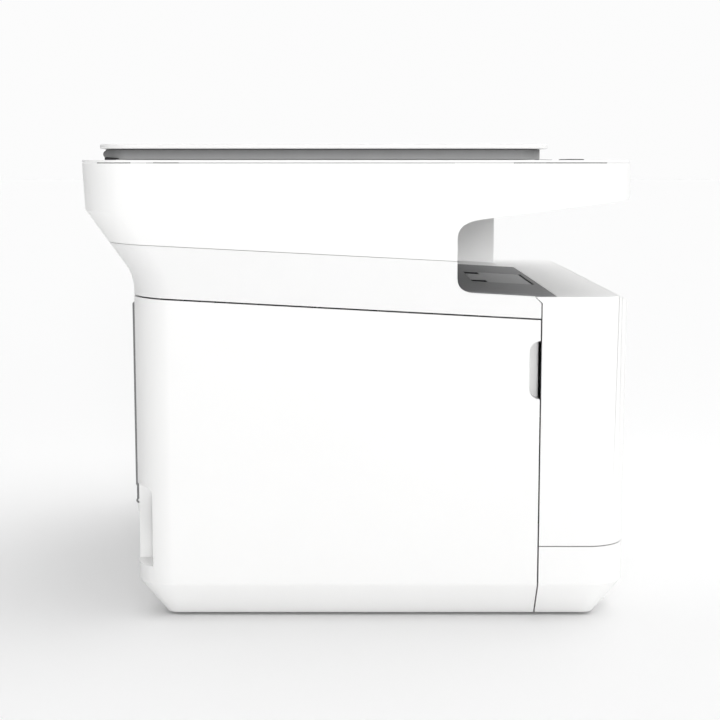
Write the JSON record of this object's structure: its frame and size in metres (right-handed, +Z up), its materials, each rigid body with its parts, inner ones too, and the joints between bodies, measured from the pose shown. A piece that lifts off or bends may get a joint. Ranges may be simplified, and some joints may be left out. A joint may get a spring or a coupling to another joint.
{
  "type": "inkjet printer",
  "caption": "White desktop multifunction printer with a flatbed scanner lid, output bay, full-height front door, bottom paper tray and rear access door.",
  "frame": {"origin": "Centre of the bounding box, on the plane that the rubber feet stand on.", "axes": "+X runs to the machine's right side as seen by its user, +Y to its back, +Z up. The front faces -Y."},
  "size_m": [0.411, 0.3942, 0.3461],
  "materials": {
    "white_plastic": "fine satin mould texture",
    "black_plastic": "plain moulded",
    "dark_grey_plastic": "fine matt grain",
    "mid_grey_plastic": "fine matt grain",
    "lid_grey_plastic": "satin",
    "key_plastic": "satin",
    "black_gloss": "smooth gloss",
    "rubber": "matt",
    "roller_rubber": "ground matt",
    "belt_rubber": "matt",
    "steel": "ground and polished",
    "motor_steel": "drawn can",
    "zinc_plate": "zinc plated sheet",
    "supply_case": "perforated metal case",
    "glass": "clear, flat",
    "film": "clear polyester film",
    "gear_plastic": "natural acetal",
    "circuit_board": "solder mask",
    "pad_foam": "smooth film on foam",
    "cartridge_black": "satin",
    "cartridge_cyan": "satin",
    "cartridge_magenta": "satin",
    "cartridge_yellow": "satin"
  },
  "bodies": {
    "chassis": {"base_pan": "black_plastic", "left_side_cover": "white_plastic", "right_side_cover": "white_plastic", "rear_panel": "white_plastic", "port_panel": "black_plastic", "power_inlet": "black_plastic", "upper_frame": "white_plastic", "output_tray": "dark_grey_plastic", "foot_front_left": "rubber", "foot_front_right": "rubber", "foot_rear_left": "rubber", "foot_rear_right": "rubber", "scanner_housing": "white_plastic", "scanner_bezel": "white_plastic", "scanner_glass": "glass", "scan_head_rod": "steel", "control_panel": "black_gloss", "lid_hinge_left": "black_plastic", "lid_hinge_right": "black_plastic", "chassis_plate_left": "zinc_plate", "chassis_plate_right": "zinc_plate", "carriage_rail": "zinc_plate", "guide_rod": "steel", "encoder_strip": "film", "carriage_belt": "belt_rubber", "carriage_motor": "motor_steel", "platen": "black_plastic", "maintenance_station": "black_plastic", "feed_motor": "motor_steel", "power_supply": "supply_case", "main_board": "circuit_board"},
    "front_door": {"front_door": "white_plastic"},
    "rear_door": {"rear_door": "dark_grey_plastic"},
    "paper_stop": {"paper_stop": "mid_grey_plastic"},
    "paper_tray": {"paper_tray": "white_plastic"},
    "width_guide_left": {"width_guide_left": "mid_grey_plastic"},
    "width_guide_right": {"width_guide_right": "mid_grey_plastic"},
    "length_guide": {"length_guide": "mid_grey_plastic"},
    "scan_head": {"scan_head": "black_plastic"},
    "power_key": {"power_key": "key_plastic"},
    "copy_key": {"copy_key": "key_plastic"},
    "cancel_key": {"cancel_key": "key_plastic"},
    "lid": {"lid_plate": "white_plastic", "lid_frame": "lid_grey_plastic", "document_pad": "pad_foam"},
    "carriage": {"print_carriage": "black_plastic"},
    "cartridge_black": {"ink_cartridge_black": "cartridge_black"},
    "cartridge_cyan": {"ink_cartridge_cyan": "cartridge_cyan"},
    "cartridge_magenta": {"ink_cartridge_magenta": "cartridge_magenta"},
    "cartridge_yellow": {"ink_cartridge_yellow": "cartridge_yellow"},
    "motor_pulley": {"motor_pulley": "gear_plastic"},
    "idler_pulley": {"idler_pulley": "gear_plastic"},
    "feed_roller": {"feed_roller": "roller_rubber"},
    "transport_roller": {"transport_roller": "roller_rubber"},
    "idler_gear": {"idler_gear": "gear_plastic"},
    "motor_pinion": {"motor_pinion": "steel"},
    "turn_roller": {"turn_roller": "roller_rubber"},
    "exit_roller": {"exit_roller": "roller_rubber"},
    "pickup_roller": {"pickup_roller": "roller_rubber"}
  },
  "joints": [
    {"name": "lid_lift", "type": "hinge", "parent": "chassis", "child": "lid", "pos_m": [0, 0.1815, 0.339], "axis": [-1, 0, 0], "range_deg": [0, 85]},
    {"name": "front_door_fold", "type": "hinge", "parent": "chassis", "child": "front_door", "pos_m": [0, -0.191, 0.064], "axis": [1, 0, 0], "range_deg": [0, 90]},
    {"name": "rear_door_fold", "type": "hinge", "parent": "chassis", "child": "rear_door", "pos_m": [-0.04125, 0.164, 0.0805], "axis": [-1, 0, 0], "range_deg": [0, 90]},
    {"name": "paper_stop_fold", "type": "hinge", "parent": "chassis", "child": "paper_stop", "pos_m": [-0.044, -0.1355, 0.23699], "axis": [1, 0, 0], "range_deg": [0, 105]},
    {"name": "paper_tray_slide", "type": "slide", "parent": "chassis", "child": "paper_tray", "axis": [0, -1, 0], "range_m": [0, 0.25]},
    {"name": "width_guide_left_slide", "type": "slide", "parent": "paper_tray", "child": "width_guide_left", "axis": [1, 0, 0], "range_m": [0, 0.05]},
    {"name": "width_guide_right_slide", "type": "slide", "parent": "paper_tray", "child": "width_guide_right", "axis": [-1, 0, 0], "range_m": [0, 0.05]},
    {"name": "length_guide_slide", "type": "slide", "parent": "paper_tray", "child": "length_guide", "axis": [0, -1, 0], "range_m": [0, 0.08]},
    {"name": "scan_head_slide", "type": "slide", "parent": "chassis", "child": "scan_head", "axis": [1, 0, 0], "range_m": [0, 0.284]},
    {"name": "carriage_slide", "type": "slide", "parent": "chassis", "child": "carriage", "axis": [-1, 0, 0], "range_m": [0, 0.296]},
    {"name": "power_key_press", "type": "slide", "parent": "chassis", "child": "power_key", "axis": [0, 0, -1], "range_m": [0, 0.001], "stiffness_N_per_m": 400, "springref_m": -0.0006},
    {"name": "copy_key_press", "type": "slide", "parent": "chassis", "child": "copy_key", "axis": [0, 0, -1], "range_m": [0, 0.001], "stiffness_N_per_m": 400, "springref_m": -0.0006},
    {"name": "cancel_key_press", "type": "slide", "parent": "chassis", "child": "cancel_key", "axis": [0, 0, -1], "range_m": [0, 0.001], "stiffness_N_per_m": 400, "springref_m": -0.0006},
    {"name": "cartridge_black_release", "type": "slide", "parent": "carriage", "child": "cartridge_black", "axis": [0, -1, 0], "range_m": [0, 0.085]},
    {"name": "cartridge_cyan_release", "type": "slide", "parent": "carriage", "child": "cartridge_cyan", "axis": [0, -1, 0], "range_m": [0, 0.085]},
    {"name": "cartridge_magenta_release", "type": "slide", "parent": "carriage", "child": "cartridge_magenta", "axis": [0, -1, 0], "range_m": [0, 0.085]},
    {"name": "cartridge_yellow_release", "type": "slide", "parent": "carriage", "child": "cartridge_yellow", "axis": [0, -1, 0], "range_m": [0, 0.085]},
    {"name": "motor_pulley_turn", "type": "hinge", "parent": "chassis", "child": "motor_pulley", "pos_m": [0.18, 0.043, 0.188], "axis": [0, 1, 0], "range_deg": [0, 1321]},
    {"name": "idler_pulley_turn", "type": "hinge", "parent": "chassis", "child": "idler_pulley", "pos_m": [-0.18, 0.043, 0.188], "axis": [0, 1, 0], "range_deg": [0, 1321]},
    {"name": "feed_roller_turn", "type": "hinge", "parent": "chassis", "child": "feed_roller", "pos_m": [0, -0.06, 0.107], "axis": [1, 0, 0], "continuous": true},
    {"name": "transport_roller_turn", "type": "hinge", "parent": "chassis", "child": "transport_roller", "pos_m": [0, 0.06, 0.107], "axis": [1, 0, 0], "continuous": true},
    {"name": "idler_gear_turn", "type": "hinge", "parent": "chassis", "child": "idler_gear", "pos_m": [0, 0, 0.107], "axis": [1, 0, 0], "continuous": true},
    {"name": "motor_pinion_turn", "type": "hinge", "parent": "chassis", "child": "motor_pinion", "pos_m": [0, -0.03537, 0.07567], "axis": [1, 0, 0], "continuous": true},
    {"name": "turn_roller_turn", "type": "hinge", "parent": "chassis", "child": "turn_roller", "pos_m": [0, -0.148, 0.092], "axis": [1, 0, 0], "continuous": true},
    {"name": "exit_roller_turn", "type": "hinge", "parent": "chassis", "child": "exit_roller", "pos_m": [0, 0.141, 0.251], "axis": [1, 0, 0], "continuous": true},
    {"name": "pickup_roller_turn", "type": "hinge", "parent": "chassis", "child": "pickup_roller", "pos_m": [0, -0.112, 0.068], "axis": [1, 0, 0], "continuous": true}
  ],
  "couplings": [
    {"joint": "width_guide_right_slide", "follows": "width_guide_left_slide", "ratio": 1},
    {"joint": "motor_pulley_turn", "follows": "carriage_slide", "rad_per_m": 77.821},
    {"joint": "idler_pulley_turn", "follows": "carriage_slide", "rad_per_m": 77.821},
    {"joint": "idler_gear_turn", "follows": "feed_roller_turn", "ratio": -0.53846},
    {"joint": "transport_roller_turn", "follows": "feed_roller_turn", "ratio": 1},
    {"joint": "motor_pinion_turn", "follows": "feed_roller_turn", "ratio": 2.5455},
    {"joint": "turn_roller_turn", "follows": "feed_roller_turn", "ratio": 0.35},
    {"joint": "exit_roller_turn", "follows": "feed_roller_turn", "ratio": -1.2833},
    {"joint": "pickup_roller_turn", "follows": "feed_roller_turn", "ratio": 0.57037}
  ]
}
